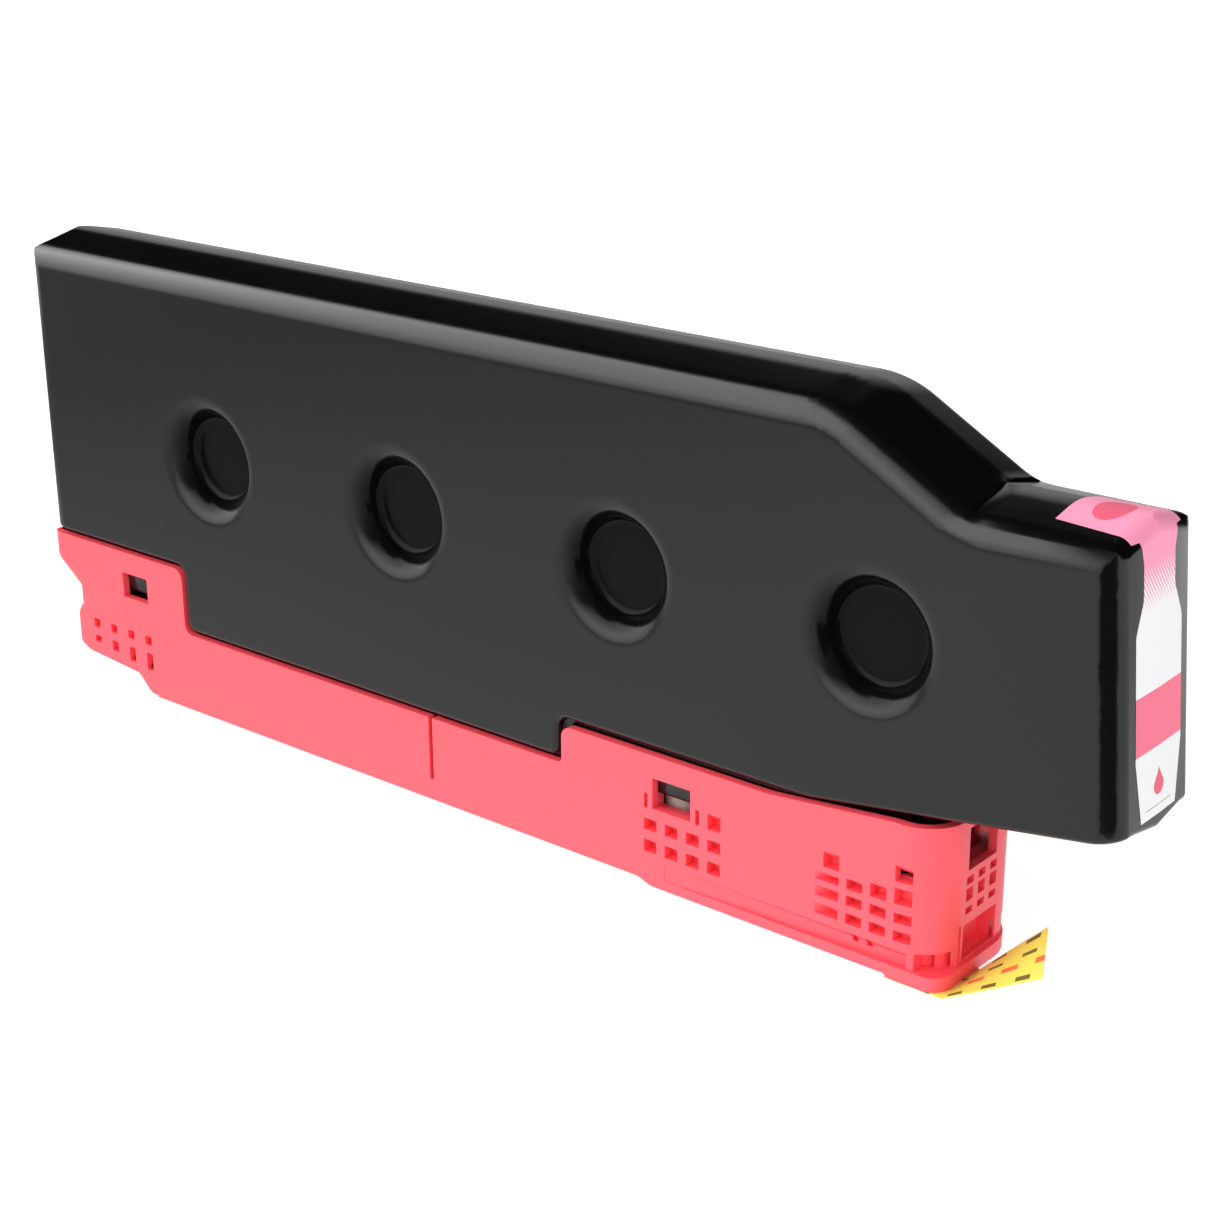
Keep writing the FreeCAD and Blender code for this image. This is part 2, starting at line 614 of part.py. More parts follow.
def rear_end():
    """The tray's rear face in side view, from the lower block up to the upper one."""
    return [
        (BLOCK_REAR, NOTCH_LOW - NOTCH_SLOPE, TRAY_REAR_R),
        (NOTCH_DEPTH, NOTCH_LOW, NOTCH_R),
        (NOTCH_DEPTH, NOTCH_HIGH, NOTCH_R),
        (0, RIM_REAR - UPPER_BLOCK, TRAY_REAR_R),
    ]


def rear_rounding():
    """Form with the tray's rear face, whose upright corners are rounded from top to bottom."""
    inner = REAR_STEP - MARGIN
    outline = [(0, ABOVE, 0), (inner, ABOVE, 0), (inner, -ABOVE, 0), (BLOCK_REAR, -ABOVE, 0)] + rear_end()
    form = side_plate(outline, -HALF, HALF)
    rear = edges_of(form, lambda e: on_side(e) and e.BoundBox.XMax < REAR + NOTCH_DEPTH + MARGIN)
    return form.makeFillet(TRAY_REAR_R, rear)


def nose_plan(inset, corner_r, start=-TRAY_REAR_R):
    """The tray in plan, full width at the rear and rounded round the nose."""
    reach = HALF - inset
    return [
        (start, -reach, 0),
        (NOSE_FRONT - inset, -reach, corner_r),
        (NOSE_FRONT - inset, reach, corner_r),
        (start, reach, 0),
    ]


def tray_shell():
    block_solid = side_plate(tray_outline(), -HALF, HALF)
    front_part = block(REAR_STEP - 2 * MARGIN, FRONT, -HALF, HALF, 0, ABOVE)
    block_solid = block_solid.common(rear_rounding().fuse(front_part))
    wall_plan = plan_slab(nose_plan(0, NOSE_R), LIP_TOP, ABOVE)
    base_front = NOSE_FRONT + BASE_RIM
    base = [
        (-TRAY_REAR_R, -HALF, 0),
        (base_front, -HALF, BASE_NEAR_R),
        (base_front, HALF, BASE_FAR_R),
        (-TRAY_REAR_R, HALF, 0),
    ]
    return block_solid.common(wall_plan.fuse(plan_slab(base, 0, LIP_TOP)))


def tray_cavity():
    """The hollow of the tray, open at the top, WALL inside its outer faces."""
    block_floor = BLOCK_BOTTOM_REAR + FLOOR
    outline = [
        (WALL, ABOVE, 0),
        (WALL, RIM_REAR - UPPER_BLOCK + MARGIN, 0),
        (NOTCH_DEPTH + WALL, NOTCH_HIGH, 0),
        (NOTCH_DEPTH + WALL, NOTCH_LOW, 0),
        (BLOCK_REAR + WALL, NOTCH_LOW - NOTCH_SLOPE + PORT_SEAT, 0),
        (BLOCK_REAR + WALL, block_floor, 0),
        (BLOCK_END, BLOCK_BOTTOM_FRONT + FLOOR, 0),
        (BLOCK_SLOPE_END, FLOOR_TOP, 0),
        (NOSE_FRONT - WALL, FLOOR_TOP, 0),
        (NOSE_FRONT - WALL, ABOVE, 0),
    ]
    hollow = side_plate(outline, -HALF, HALF)
    return hollow.common(plan_slab(nose_plan(WALL, NOSE_R - WALL), 0, ABOVE))


def base_ledge():
    """Thicker foot of the side walls behind the rail's recess."""
    start = RAIL_START - RAIL_RISE
    top = LIP_TOP + RAIL_RECESS_HEIGHT + WALL
    middle = -HALF + WALL / 2
    return both_sides(block(start, NOSE_FRONT - NOSE_BLOCK + MARGIN, middle, -HALF + WALL + RAIL_RECESS,
                            FLOOR_TOP - MARGIN, top))


def thick_walls():
    """Inner thickenings of the walls, deep enough for the blind cells of the lattices."""
    middle = -HALF + WALL / 2
    inner = -HALF + THICK_WALL
    low = FLOOR_TOP - MARGIN
    pads = []
    start = FRONT - LATTICE_A_BACK - THICK_WALL
    end = FRONT - LATTICE_A_BACK + LATTICE_A_COLUMNS * CELL_PITCH + WALL
    pad = block(start, end, middle, inner, low, SPIGOT_FRONT_BOTTOM)
    x_low, x_high, z_low = FRONT_WINDOW[:3]
    frame = WINDOW_FRAME / 2
    opening = block(x_low - frame, x_high + frame, -HALF, 0, z_low - frame, ABOVE)
    pads += both_sides(pad.cut(opening))
    pads += both_sides(block(NOTCH_DEPTH + MARGIN, REAR_PANEL_FRONT + WALL, middle, -HALF + BLOCK_WALL,
                             BLOCK_BOTTOM_REAR + MARGIN, REAR_PANEL_TOP - MARGIN))
    nose_start = NOSE_FRONT - NOSE_BLOCK
    outer = plan_slab(nose_plan(WALL / 2, NOSE_R - WALL / 2, nose_start), low, SPIGOT_FRONT_BOTTOM)
    reach = HALF - THICK_WALL
    hollow = [
        (nose_start - MARGIN, -reach, 0),
        (NOSE_FRONT - NOSE_WALL, -reach, NOSE_R - NOSE_WALL),
        (NOSE_FRONT - NOSE_WALL, reach, NOSE_R - NOSE_WALL),
        (nose_start - MARGIN, reach, 0),
    ]
    pads.append(outer.cut(plan_slab(hollow, low - MARGIN, ABOVE)))
    return pads


def rail_recess():
    """Recess over the rail's lip, which deepens towards the front, in the near side."""
    def section(x, depth):
        high = LIP_TOP + RAIL_RECESS_HEIGHT
        corners = ((-MARGIN, LIP_TOP), (depth, LIP_TOP), (depth, high - depth), (-MARGIN, high + MARGIN))
        points = [Vector(REAR + x, -HALF + into, height) for into, height in corners]
        return Part.makePolygon(points + points[:1])

    sections = [section(RAIL_START + RAIL_RISE, RAIL_RECESS / 20), section(RAIL_END, RAIL_RECESS)]
    return Part.makeLoft(sections, True, True)


def side_hole(x_low, x_high, z_low, z_high):
    """Hole through the near wall."""
    return block(x_low, x_high, -HALF - MARGIN, -HALF + THICK_WALL + MARGIN, z_low, z_high)


def cell(x_low, x_high, z_low, z_high):
    """Blind cell in the near wall."""
    return block(x_low, x_high, -HALF - MARGIN, -HALF + CELL_DEPTH, z_low, z_high)


def ramped_cell(x_low, x_high, z_low, z_high):
    """Blind cell in the near wall whose floor runs out at the top."""
    deep = -HALF + CELL_DEPTH
    bend = z_low + (z_high - z_low) / 3
    outside = -HALF - MARGIN
    section = [(outside, z_low, 0), (deep, z_low, 0), (deep, bend, 0), (outside, z_high + MARGIN, 0)]
    return end_plate(section, x_low, x_high)


def louvre(x_low, x_high, z_low, z_high):
    """Blind cell in the near wall whose floor runs out at the rear."""
    deep = -HALF + CELL_DEPTH
    outside = -HALF - MARGIN
    start = x_low - LOUVRE_REACH
    plan = [(start, outside, 0), (x_high, outside, 0), (x_high, deep, 0), (x_low + MARGIN, deep, 0)]
    return plan_slab(plan, z_low, z_high)


def lattice_a():
    """Two rows of cells, and a row of ramped cells beside the front window's frame."""
    cells = []
    x_low, x_high = FRONT_WINDOW[:2]
    frame_low = x_low - WINDOW_FRAME
    frame_high = x_high + WINDOW_FRAME
    for column in range(LATTICE_A_COLUMNS):
        left = FRONT - LATTICE_A_BACK + column * CELL_PITCH
        right = left + LATTICE_A_CELL
        cells += [cell(left, right, low, high) for low, high in LATTICE_A_ROWS]
        if left < frame_low < right:
            right = frame_low
        elif left < frame_high < right:
            left = frame_high
        elif frame_low < left < frame_high:
            continue
        cells.append(ramped_cell(left, right, *LATTICE_A_TOP))
    return cells


def lattice_b():
    """Three rows of cells, whose top row follows the rim, with two ramped cells and two drain slots."""
    cells = []
    for column, (top, floor) in enumerate(zip(LATTICE_B_TOPS, LATTICE_B_FLOORS)):
        left = FRONT - LATTICE_B_BACK + column * CELL_PITCH
        right = left + LATTICE_B_CELL
        kind = louvre if column == 0 else cell
        cells += [kind(left, right, low, high) for low, high in LATTICE_B_ROWS + ((floor, top),)]
        if column in (0, len(LATTICE_B_TOPS) - 1):
            low = top + LATTICE_B_FLOORS[0] - LATTICE_B_ROWS[1][1]
            cells.append(ramped_cell(left, right, low, low + CORNER_CELL_HEIGHT))
    slot_low = LIP_TOP + RAIL_RECESS
    for back in DRAIN_SLOTS_BACK:
        x = FRONT - back
        cells.append(cell(x, x + DRAIN_SLOT_WIDTH, slot_low, slot_low + DRAIN_SLOT_HEIGHT))
    return cells


def rear_panel():
    """Shallow panel in the side of the rear block, with its blind squares and slots."""
    near = -HALF
    panel = block(-TRAY_REAR_R, REAR_PANEL_FRONT, near - MARGIN, near + REAR_PANEL_RECESS, 0, REAR_PANEL_TOP)
    tools = [panel]
    deep = near + REAR_PANEL_RECESS + REAR_CELL_DEPTH
    for column in range(REAR_COLUMNS):
        middle = REAR_COLUMN_START + column * REAR_COLUMN_PITCH
        left = middle - REAR_SQUARE / 2
        right = middle + REAR_SQUARE / 2
        low = REAR_SQUARE_HEIGHT - REAR_SQUARE / 2
        tools.append(block(left, right, near - MARGIN, deep, low, low + REAR_SQUARE))
        tools.append(block(left, right, near - MARGIN, deep, REAR_SLOT_LOW[column], REAR_SLOT_TOP))
    return tools


def guide_recess():
    """Recess beside the rear notch that runs out towards the front."""
    near = -HALF
    plan = [
        (-MARGIN, near - MARGIN, 0),
        (GUIDE_LENGTH, near - MARGIN, 0),
        (GUIDE_LENGTH, near, 0),
        (-MARGIN, near + GUIDE_RECESS, 0),
    ]
    return plan_slab(plan, GUIDE_LOW, GUIDE_HIGH)


def guide_backing():
    """Inner thickening that keeps the wall behind the guide recess whole."""
    near = -HALF
    return block(NOTCH_DEPTH + WALL / 2, GUIDE_LENGTH, near + WALL / 2, near + WALL + GUIDE_RECESS / 2,
                 REAR_PANEL_TOP - 2 * MARGIN, SPIGOT_REAR_BOTTOM - SPIGOT_CLEARANCE)


def pocket():
    """Pocket round the nose's near corner, over the base's rim, deeper at its rear end."""
    low, high = POCKET
    outer = plan_slab(nose_plan(-BASE_RIM, NOSE_R + BASE_RIM), low, high)
    inner = plan_slab(nose_plan(POCKET_DEPTH, NOSE_R - POCKET_DEPTH), low - MARGIN, high + MARGIN)
    start = RAIL_END + POCKET_RIB
    end = NOSE_FRONT - NOSE_R * (1 - math.sin(math.radians(POCKET_TURN)))
    shallow = outer.cut(inner).common(block(start, end, -HALF - BASE_RIM, 0, low, high))
    middle = (start + end) / 2
    double = 2 * POCKET_DEPTH
    inner_deep = plan_slab(nose_plan(double, NOSE_R - double), low - MARGIN, high + MARGIN)
    deep = outer.cut(inner_deep).common(block(start, middle, -HALF - BASE_RIM, 0, low, high))
    return shallow.fuse(deep)


def nose_openings():
    """Window, lattice, blind port and groove in the nose's front face."""
    past = NOSE_FRONT + BASE_RIM + MARGIN
    half_window = NOSE_WINDOW_WIDTH / 2
    window = (RIM_NOSE - NOSE_WINDOW_DROP[0], RIM_NOSE - NOSE_WINDOW_DROP[1])
    tools = [block(NOSE_FRONT - NOSE_WALL - MARGIN, past, -half_window, half_window, *window)]
    deep = NOSE_FRONT - CELL_DEPTH
    for column in (-1, 0, 1):
        middle = column * NOSE_CELL_PITCH
        for low, high in NOSE_ROWS:
            left = middle - NOSE_CELL_WIDTH / 2
            tools.append(block(deep, past, left, left + NOSE_CELL_WIDTH, low, high))
    half_port = NOSE_PORT_WIDTH / 2
    tools.append(block(NOSE_FRONT - NOSE_PORT_DEPTH, past, -half_port, half_port, *NOSE_PORT))
    groove = -half_port - 2 * NOSE_GROOVE_WIDTH
    floor = NOSE_FRONT - NOSE_GROOVE_WIDTH
    tools.append(block(floor, past, groove, groove + NOSE_GROOVE_WIDTH, *NOSE_GROOVE))
    return tools


def port_x():
    """Rear end of the outlet's nose, a little inside the block's rear face."""
    return BLOCK_REAR + PORT_INSET


def port_cradle():
    """Rib that carries the outlet's barrel, and ribs that carry the tank's spigot."""
    ribs = []
    cradle_x = port_x() + CRADLE_FROM_PORT
    width = PORT_FLANGE_R
    cradle = block(cradle_x, cradle_x + RIB, -width, width, BLOCK_BOTTOM_FRONT, PORT_HEIGHT)
    barrel = rod_x(PORT_BARREL_R, cradle_x - MARGIN, cradle_x + RIB + MARGIN, 0, PORT_HEIGHT)
    ribs.append(cradle.cut(barrel))
    inner = HALF - WALL / 2
    span = SPIGOT_MID_END - SPIGOT_MID_START
    for share in (0.12, 0.5, 0.88):
        x = SPIGOT_MID_START + span * share
        ribs.append(block(x, x + RIB, -inner, inner, FLOOR_TOP - MARGIN, SPIGOT_MID_BOTTOM))
    return ribs


def chip_pocket():
    """Pocket for the chip's board, with a deeper pocket for its potted chip."""
    half_w = CHIP_WIDTH / 2 + CHIP_CLEARANCE
    half_h = CHIP_HEIGHT / 2 + CHIP_CLEARANCE
    floor = CHIP_INSET + CHIP_THICK
    recess = block(-MARGIN, floor, -half_w, half_w, CHIP_CENTRE - half_h, CHIP_CENTRE + half_h)
    half_blob = BLOB_SIZE[0] / 2 + CHIP_CLEARANCE
    height = BLOB_SIZE[1] / 2 + CHIP_CLEARANCE
    deep = floor + BLOB_SIZE[2]
    blob = block(-MARGIN, deep, -half_blob, half_blob, CHIP_CENTRE - height, CHIP_CENTRE + height)
    return recess.fuse(blob)


def chip_stakes():
    y = CHIP_WIDTH / 2 - STAKE_MARGIN
    return [rod_x(STAKE_R, PAD_THICK, WALL, side * y, CHIP_CENTRE) for side in (-1, 1)]


def vent_seat():
    """Raised ring on the nose's floor that the vent's gasket and membrane sit in."""
    outer_r = DUCT_FOOT_R + FIT + SEAT_WALL
    seat = rod_z(outer_r, FLOOR_TOP - MARGIN, FLOOR_TOP + GASKET_HEIGHT, VENT_FROM_REAR, NIPPLE_Y)
    return seat.cut(rod_z(DUCT_FOOT_R + FIT, FLOOR_TOP, ABOVE, VENT_FROM_REAR, NIPPLE_Y))


def runners():
    low_x, high_x = RUNNER_START, FRONT - RUNNER_END_BACK
    return [block(low_x, high_x, y - RUNNER_WIDTH / 2, y + RUNNER_WIDTH / 2, 0, TRAY_BOTTOM + RUNNER_ROOT)
            for y in (-RUNNER_Y, RUNNER_Y)]


def carrier_tray():
    shell = tray_shell().cut(tray_cavity())
    additions = [vent_seat()] + port_cradle() + both_sides(guide_backing())
    additions += base_ledge() + thick_walls() + runners()
    shell = shell.fuse(additions)
    near_tools = [rail_recess(), guide_recess(), pocket()] + rear_panel() + lattice_a() + lattice_b()
    near_tools += [side_hole(*window) for window in (REAR_WINDOW, FRONT_WINDOW)]
    slit = FRONT - FLEX_SLIT_BACK
    half_slit = FLEX_SLIT_WIDTH / 2
    near_tools.append(side_hole(slit - half_slit, slit + half_slit, FLEX_SLIT_BOTTOM, RIM_MID + MARGIN))
    tools = nose_openings() + [chip_pocket()]
    for tool in near_tools:
        tools += both_sides(tool)
    hole_r = PORT_NOSE_R + PORT_HOLE_CLEARANCE
    tools.append(rod_x(hole_r, 0, BLOCK_REAR + WALL + MARGIN, 0, PORT_HEIGHT))
    tools.append(rod_z(VENT_R, 0, FLOOR_TOP + MARGIN, VENT_FROM_REAR, NIPPLE_Y))
    return shell.cut(tools).fuse(chip_stakes()).removeSplitter()


# Ink outlet


def barrel_end():
    return SPIGOT_MID_START - RIB


def chamber_start():
    return port_x() + COLLAR_LENGTH + SEAL_LENGTH


def chamber_end():
    return chamber_start() + CHAMBER_LENGTH


def socket_start():
    return chamber_end() + INLET_LENGTH


def spout_ring_x():
    return SPIGOT_MID_START - SPOUT_LENGTH + 4.0


def port_body():
    flange_x = BLOCK_REAR + WALL + PORT_SEAT
    solid = rod_x(PORT_NOSE_R, port_x(), flange_x + MARGIN, 0, PORT_HEIGHT)
    flange = rod_x(PORT_FLANGE_R, flange_x, flange_x + PORT_FLANGE, 0, PORT_HEIGHT)
    between_flats = block(flange_x, flange_x + PORT_FLANGE, -HALF, HALF,
                          PORT_HEIGHT - PORT_BARREL_R, PORT_HEIGHT + PORT_BARREL_R)
    barrel = rod_x(PORT_BARREL_R, flange_x, barrel_end(), 0, PORT_HEIGHT)
    solid = solid.fuse([flange.common(between_flats), barrel])
    bores = [
        rod_x(SEAL_POCKET_R, port_x() - MARGIN, chamber_start(), 0, PORT_HEIGHT),
        rod_x(CHAMBER_R, chamber_start(), chamber_end(), 0, PORT_HEIGHT),
        rod_x(INLET_R, chamber_end() - MARGIN, socket_start() + MARGIN, 0, PORT_HEIGHT),
        rod_x(SPOUT_R + FIT, socket_start(), barrel_end() + MARGIN, 0, PORT_HEIGHT),
    ]
    return solid.cut(bores).removeSplitter()


def port_collar():
    start = port_x()
    ring = tube_x(SEAL_POCKET_R, NEEDLE_R, start, start + COLLAR_LENGTH)
    centre = Vector(REAR + start, 0, PORT_HEIGHT)
    mouth = Part.makeCone(NEEDLE_R + MOUTH, NEEDLE_R, MOUTH, centre, Vector(1, 0, 0))
    return ring.cut(mouth)


def port_seal():
    start = port_x() + COLLAR_LENGTH
    ring = tube_x(SEAL_POCKET_R, NEEDLE_R, start, start + SEAL_LENGTH)
    third = SEAL_LENGTH / 3
    groove = tube_x(SEAL_POCKET_R + MARGIN, SEAL_POCKET_R - RING_R, start + third, start + 2 * third)
    return ring.cut(groove)


def valve_poppet():
    start = chamber_start() + POPPET_GAP
    head = rod_x(CHAMBER_R - POPPET_CLEARANCE, start, start + POPPET_HEAD, 0, PORT_HEIGHT)
    stem = rod_x(POPPET_STEM_R, start + POPPET_HEAD, start + POPPET_HEAD + POPPET_STEM, 0, PORT_HEIGHT)
    flow = []
    for i in range(4):
        angle = math.radians(45 + 90 * i)
        y = CHAMBER_R * math.cos(angle)
        z = PORT_HEIGHT + CHAMBER_R * math.sin(angle)
        flow.append(rod_x(FLOW_R, start - MARGIN, start + POPPET_HEAD + MARGIN, y, z))
    return head.fuse(stem).cut(flow)


def valve_spring():
    start = chamber_start() + POPPET_GAP + POPPET_HEAD + SPRING_WIRE_R
    length = chamber_end() - start - SPRING_WIRE_R
    helix = Part.makeHelix(length / SPRING_TURNS, length, SPRING_R)
    section = Part.Wire(Part.makeCircle(SPRING_WIRE_R, Vector(SPRING_R, 0, 0), Vector(0, 1, 0)))
    coil = Part.Wire(helix).makePipeShell([section], True, True)
    coil.rotate(Vector(0, 0, 0), Vector(0, 1, 0), 90)
    coil.translate(Vector(REAR + start, 0, PORT_HEIGHT))
    return coil


def inlet_filter():
    start = socket_start()
    return rod_x(SPOUT_R, start, start + FILTER_LENGTH, 0, PORT_HEIGHT)


def spout_ring():
    """Sealing ring in the spout's groove, pressed flat by the barrel round it."""
    ring = Part.makeTorus(SPOUT_R, RING_R, Vector(REAR + spout_ring_x(), 0, PORT_HEIGHT), Vector(1, 0, 0))
    return ring.common(rod_x(SPOUT_R + FIT, spout_ring_x() - 1, spout_ring_x() + 1, 0, PORT_HEIGHT))


# Chip


def chip_board():
    board = block(CHIP_INSET, CHIP_INSET + CHIP_THICK, -CHIP_WIDTH / 2, CHIP_WIDTH / 2,
                  CHIP_CENTRE - CHIP_HEIGHT / 2, CHIP_CENTRE + CHIP_HEIGHT / 2)
    y = CHIP_WIDTH / 2 - STAKE_MARGIN
    holes = [rod_x(STAKE_R + FIT / 2, 0, WALL, side * y, CHIP_CENTRE) for side in (-1, 1)]
    return board.cut(holes)


def chip_contacts():
    pads = []
    for row, count in zip((-0.5, 0.5), PAD_ROWS):
        z = CHIP_CENTRE + row * PAD_ROW_SPACING
        for i in range(count):
            y = (i - (count - 1) / 2) * PAD_PITCH
            pads.append(block(CHIP_INSET - PAD_THICK, CHIP_INSET, y - PAD_SIZE / 2, y + PAD_SIZE / 2,
                              z - PAD_HEIGHT / 2, z + PAD_HEIGHT / 2))
    return Part.makeCompound(pads)


def chip_blob():
    width, height, depth = BLOB_SIZE
    start = CHIP_INSET + CHIP_THICK
    low = CHIP_CENTRE - height / 2
    return block(start, start + depth, -width / 2, width / 2, low, low + height)


# Air inlet


def duct_ring_height():
    return SPIGOT_FRONT_BOTTOM - 2 * NIPPLE_LENGTH / 3


def duct_ring():
    """Sealing ring in the nipple's groove, pressed flat by the duct's socket."""
    height = duct_ring_height()
    ring = Part.makeTorus(NIPPLE_R, RING_R, Vector(REAR + NIPPLE_FROM_REAR, NIPPLE_Y, height))
    return ring.common(rod_z(NIPPLE_R + FIT, height - 1, height + 1, NIPPLE_FROM_REAR, NIPPLE_Y))


def air_duct():
    """Socket over the tank's air nipple, and a pipe along the tray to the vent."""
    nipple_low = SPIGOT_FRONT_BOTTOM - NIPPLE_LENGTH
    socket_low = SPIGOT_FRONT_BOTTOM - DUCT_SOCKET_LENGTH
    pipe_low = DUCT_HEIGHT - DUCT_R
    foot_low = FLOOR_TOP + GASKET_HEIGHT
    solid = rod_z(DUCT_SOCKET_R, socket_low, SPIGOT_FRONT_BOTTOM, NIPPLE_FROM_REAR, NIPPLE_Y).fuse([
        rod_z(DUCT_FOOT_R, pipe_low, socket_low + MARGIN, NIPPLE_FROM_REAR, NIPPLE_Y),
        rod_x(DUCT_R, NIPPLE_FROM_REAR, VENT_FROM_REAR + DUCT_R, NIPPLE_Y, DUCT_HEIGHT),
        rod_z(DUCT_FOOT_R, foot_low, DUCT_HEIGHT + DUCT_R, VENT_FROM_REAR, NIPPLE_Y),
    ])
    bores = [
        rod_z(NIPPLE_R + FIT, nipple_low - FIT, SPIGOT_FRONT_BOTTOM + MARGIN, NIPPLE_FROM_REAR, NIPPLE_Y),
        rod_z(DUCT_BORE_R, DUCT_HEIGHT, nipple_low + MARGIN, NIPPLE_FROM_REAR, NIPPLE_Y),
        rod_x(DUCT_BORE_R, NIPPLE_FROM_REAR, VENT_FROM_REAR, NIPPLE_Y, DUCT_HEIGHT),
        rod_z(DUCT_BORE_R, foot_low - MARGIN, DUCT_HEIGHT, VENT_FROM_REAR, NIPPLE_Y),
    ]
    return solid.cut(bores).removeSplitter()


def vent_membrane():
    return rod_z(MEMBRANE_R, FLOOR_TOP, FLOOR_TOP + MEMBRANE_THICK, VENT_FROM_REAR, NIPPLE_Y)


def vent_gasket():
    low = FLOOR_TOP + MEMBRANE_THICK
    ring = rod_z(DUCT_FOOT_R, low, FLOOR_TOP + GASKET_HEIGHT, VENT_FROM_REAR, NIPPLE_Y)
    return ring.cut(rod_z(VENT_R, low - 1, ABOVE, VENT_FROM_REAR, NIPPLE_Y))


# Label and tape


def end_label():
    """Film over the neck's top and down its leaning front, with a waist between."""
    neck = long_body().common(front_form())
    film = neck.translated(Vector(LABEL_THICK, 0, LABEL_THICK)).cut(neck)
    fold = NECK_TOP - LABEL_FOLD_DROP
    waist_low, waist_high = LABEL_WAIST
    band_low, band_high = LABEL_BAND
    half_widths = [
        (LABEL_CORNER_WIDTH / 2, ABOVE, 0),
        (LABEL_CORNER_WIDTH / 2, fold, 0),
        (LABEL_WAIST_WIDTH / 2 + LABEL_STEP, fold, 0),
        (LABEL_WAIST_WIDTH / 2, waist_high, LABEL_BEND_R),
        (LABEL_WAIST_WIDTH / 2, waist_low, LABEL_BEND_R),
        (LABEL_BAND_WIDTH / 2, band_high, LABEL_BEND_R),
        (LABEL_BAND_WIDTH / 2, band_low, LABEL_BEND_R),
        (LABEL_FOOT_WIDTH / 2, LABEL_FOOT, 0),
    ]
    left = [(-y, z, radius) for y, z, radius in reversed(half_widths)]
    film = film.common(end_plate(half_widths + left, LABEL_BACK - MARGIN, FRONT + MARGIN))
    top = [
        (LABEL_BACK, -LABEL_TOP_WIDTH / 2, 0),
        (FACE_TOP_X - END_EDGE_R, -LABEL_CORNER_WIDTH / 2, 0),
        (FRONT + MARGIN, -LABEL_CORNER_WIDTH / 2, 0),
    ]
    return film.common(plan_slab(top + [(x, -y, r) for x, y, r in reversed(top)], 0, ABOVE))


def pull_tape():
    """Tape stuck under the nose's foot, whose free tab lifts and turns beyond it."""
    under = FOOT_BOTTOM - TAPE_THICK
    middle = -HALF + TAPE_SIDE_MARGIN + TAPE_WIDTH / 2
    flat_end = NOSE_FRONT + BASE_RIM + TAB_START
    edge_end = Vector(*TAB_EDGE).normalize()
    tip = Vector(FRONT - TAB_TIP_BACK, TAB_TIP_Y, TAB_TIP_HEIGHT)
    root = Vector(flat_end, middle, under)
    run = (tip - root).normalize()
    stations = 5
    sections = []
    for i in range(stations):
        share = i / (stations - 1)
        centre = root + (tip - root) * share
        edge = (Vector(0, 1, 0) * (1 - share) + edge_end * share).normalize()
        up = run.cross(edge).normalize()
        a = centre - edge * (TAPE_WIDTH / 2)
        b = centre + edge * (TAPE_WIDTH / 2)
        loop = [a, b, b + up * TAPE_THICK, a + up * TAPE_THICK]
        loop = [Vector(REAR + p.x, p.y, p.z) for p in loop]
        sections.append(Part.makePolygon(loop + [loop[0]]))
    tab = Part.makeLoft(sections, True, False)
    near = middle - TAPE_WIDTH / 2
    flat = block(FRONT - TAPE_BACK, flat_end, near, near + TAPE_WIDTH, under, FOOT_BOTTOM)
    return flat.fuse(tab).removeSplitter()


def main():
    os.makedirs("parts", exist_ok=True)
    makers = [ink_tank, carrier_tray, end_label, pull_tape, port_body, port_collar, port_seal, valve_poppet,
              valve_spring, inlet_filter, spout_ring, chip_board, chip_contacts, chip_blob, air_duct,
              duct_ring, vent_membrane, vent_gasket]
    for maker in makers:
        write(maker.__name__, maker())


main()
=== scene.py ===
import json
import math

import bmesh
import bpy
from mathutils import Matrix, Vector

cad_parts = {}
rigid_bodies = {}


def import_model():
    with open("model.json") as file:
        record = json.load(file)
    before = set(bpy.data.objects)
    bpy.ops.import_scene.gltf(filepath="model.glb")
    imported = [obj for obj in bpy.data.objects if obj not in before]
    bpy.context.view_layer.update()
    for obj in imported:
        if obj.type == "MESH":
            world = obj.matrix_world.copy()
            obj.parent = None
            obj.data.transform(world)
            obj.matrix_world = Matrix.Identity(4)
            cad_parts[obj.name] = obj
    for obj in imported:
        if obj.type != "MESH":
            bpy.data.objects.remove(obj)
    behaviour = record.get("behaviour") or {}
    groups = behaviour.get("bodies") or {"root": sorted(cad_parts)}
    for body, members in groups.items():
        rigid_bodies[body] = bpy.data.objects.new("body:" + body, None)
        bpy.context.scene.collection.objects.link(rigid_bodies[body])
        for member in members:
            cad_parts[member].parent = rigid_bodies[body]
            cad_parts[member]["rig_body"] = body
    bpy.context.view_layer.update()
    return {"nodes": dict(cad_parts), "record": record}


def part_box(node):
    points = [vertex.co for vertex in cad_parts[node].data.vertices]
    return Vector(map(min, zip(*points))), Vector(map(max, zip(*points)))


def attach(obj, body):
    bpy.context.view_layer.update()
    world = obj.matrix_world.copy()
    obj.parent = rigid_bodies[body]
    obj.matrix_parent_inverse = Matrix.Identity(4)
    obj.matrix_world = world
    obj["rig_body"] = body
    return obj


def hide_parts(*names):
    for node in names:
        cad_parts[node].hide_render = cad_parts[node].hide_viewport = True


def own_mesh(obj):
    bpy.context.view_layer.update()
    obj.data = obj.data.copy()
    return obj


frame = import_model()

# The cartridge stands on a light table, with a soft box in front of it. Everything is in metres, in
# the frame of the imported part: X along the cartridge towards its label, Z up.

MM = 0.001
LABEL_LOW, LABEL_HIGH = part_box("end_label")
TAPE_LOW, TAPE_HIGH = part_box("pull_tape")

